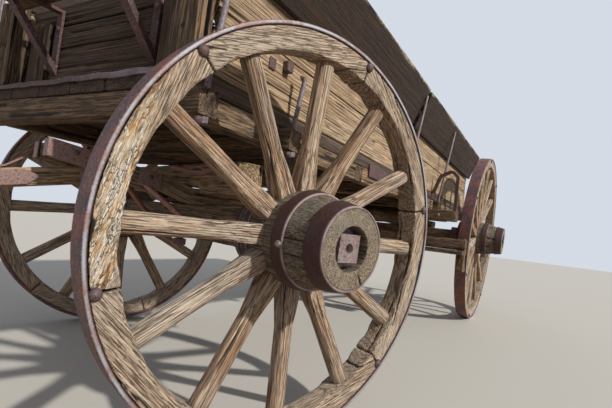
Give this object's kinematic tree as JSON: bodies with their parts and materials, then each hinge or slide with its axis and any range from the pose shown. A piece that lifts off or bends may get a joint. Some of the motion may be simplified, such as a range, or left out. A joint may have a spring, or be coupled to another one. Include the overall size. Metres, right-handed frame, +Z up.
{
  "type": "wooden flare-sided wagon",
  "caption": "Old wooden farm and freight wagon with flared sides, spoked iron-tyred wheels, a steering front gear, a hinged tongue and a rear block brake.",
  "frame": {"origin": "on the ground, midway between the two axles on the wagon's centre line", "axes": "+X forward, +Y to the wagon's left, +Z up"},
  "size_m": [6.7397, 2.1191, 1.4897],
  "materials": {
    "board_wood": "weathered grey-tan boards",
    "frame_wood": "weathered timber",
    "wheel_wood": "weathered bare wood",
    "rusty_iron": "rusted",
    "iron_tyre": "worn and rusted"
  },
  "bodies": {
    "root": {"floor_planks": "board_wood", "cross_sills": "frame_wood", "side_sills": "frame_wood", "side_boards": "board_wood", "flare_boards": "board_wood", "front_posts": "board_wood", "headboard": "board_wood", "tailboard": "board_wood", "flare_rods": "rusty_iron", "rub_irons": "rusty_iron", "footboard_brackets": "rusty_iron", "footboard": "board_wood", "front_bolster": "frame_wood", "rear_bolster": "frame_wood", "kingpin": "rusty_iron", "reach": "frame_wood", "rear_axle": "frame_wood", "rear_skeins": "rusty_iron", "rear_hounds": "frame_wood", "brake_beam": "frame_wood", "brake_plank": "frame_wood", "brake_shoes": "frame_wood", "brake_hangers": "rusty_iron", "brake_block": "frame_wood", "brake_lever": "rusty_iron", "floor_strap": "rusty_iron", "headboard_cleats": "board_wood"},
    "front_gear": {"front_axle": "frame_wood", "front_skeins": "rusty_iron", "sand_board": "frame_wood", "front_hounds": "frame_wood", "hound_irons": "rusty_iron", "sway_bar": "frame_wood", "tongue_pin": "rusty_iron"},
    "tongue": {"tongue": "frame_wood", "tongue_irons": "rusty_iron"},
    "front_left_wheel": {"front_left_wheel_tyre": "iron_tyre", "front_left_wheel_felloes": "wheel_wood", "front_left_wheel_spokes": "wheel_wood", "front_left_wheel_hub": "wheel_wood", "front_left_wheel_hub_bands": "rusty_iron"},
    "front_right_wheel": {"front_right_wheel_tyre": "iron_tyre", "front_right_wheel_felloes": "wheel_wood", "front_right_wheel_spokes": "wheel_wood", "front_right_wheel_hub": "wheel_wood", "front_right_wheel_hub_bands": "rusty_iron"},
    "rear_left_wheel": {"rear_left_wheel_tyre": "iron_tyre", "rear_left_wheel_felloes": "wheel_wood", "rear_left_wheel_spokes": "wheel_wood", "rear_left_wheel_hub": "wheel_wood", "rear_left_wheel_hub_bands": "rusty_iron"},
    "rear_right_wheel": {"rear_right_wheel_tyre": "iron_tyre", "rear_right_wheel_felloes": "wheel_wood", "rear_right_wheel_spokes": "wheel_wood", "rear_right_wheel_hub": "wheel_wood", "rear_right_wheel_hub_bands": "rusty_iron"}
  },
  "joints": [
    {"name": "steer", "type": "hinge", "parent": "root", "child": "front_gear", "pos_m": [1.31, 0, 0.7], "axis": [0, 0, 1], "range_deg": [0, 36.8]},
    {"name": "tongue_lift", "type": "hinge", "parent": "front_gear", "child": "tongue", "pos_m": [1.67057, -0.11995, 0.68], "axis": [-0.3156, -0.9489, 0], "range_deg": [0, 32]},
    {"name": "front_left_wheel_spin", "type": "hinge", "parent": "front_gear", "child": "front_left_wheel", "pos_m": [1.55147, 0.72589, 0.55947], "axis": [0.3153, 0.948, -0.0436], "continuous": true},
    {"name": "front_right_wheel_spin", "type": "hinge", "parent": "front_gear", "child": "front_right_wheel", "pos_m": [1.06853, -0.72589, 0.55947], "axis": [-0.3153, -0.948, -0.0436], "continuous": true},
    {"name": "rear_left_wheel_spin", "type": "hinge", "parent": "root", "child": "rear_left_wheel", "pos_m": [-1.31, 0.792, 0.66736], "axis": [0, 0.999, -0.0436], "continuous": true},
    {"name": "rear_right_wheel_spin", "type": "hinge", "parent": "root", "child": "rear_right_wheel", "pos_m": [-1.31, -0.792, 0.66736], "axis": [0, -0.999, -0.0436], "continuous": true}
  ]
}
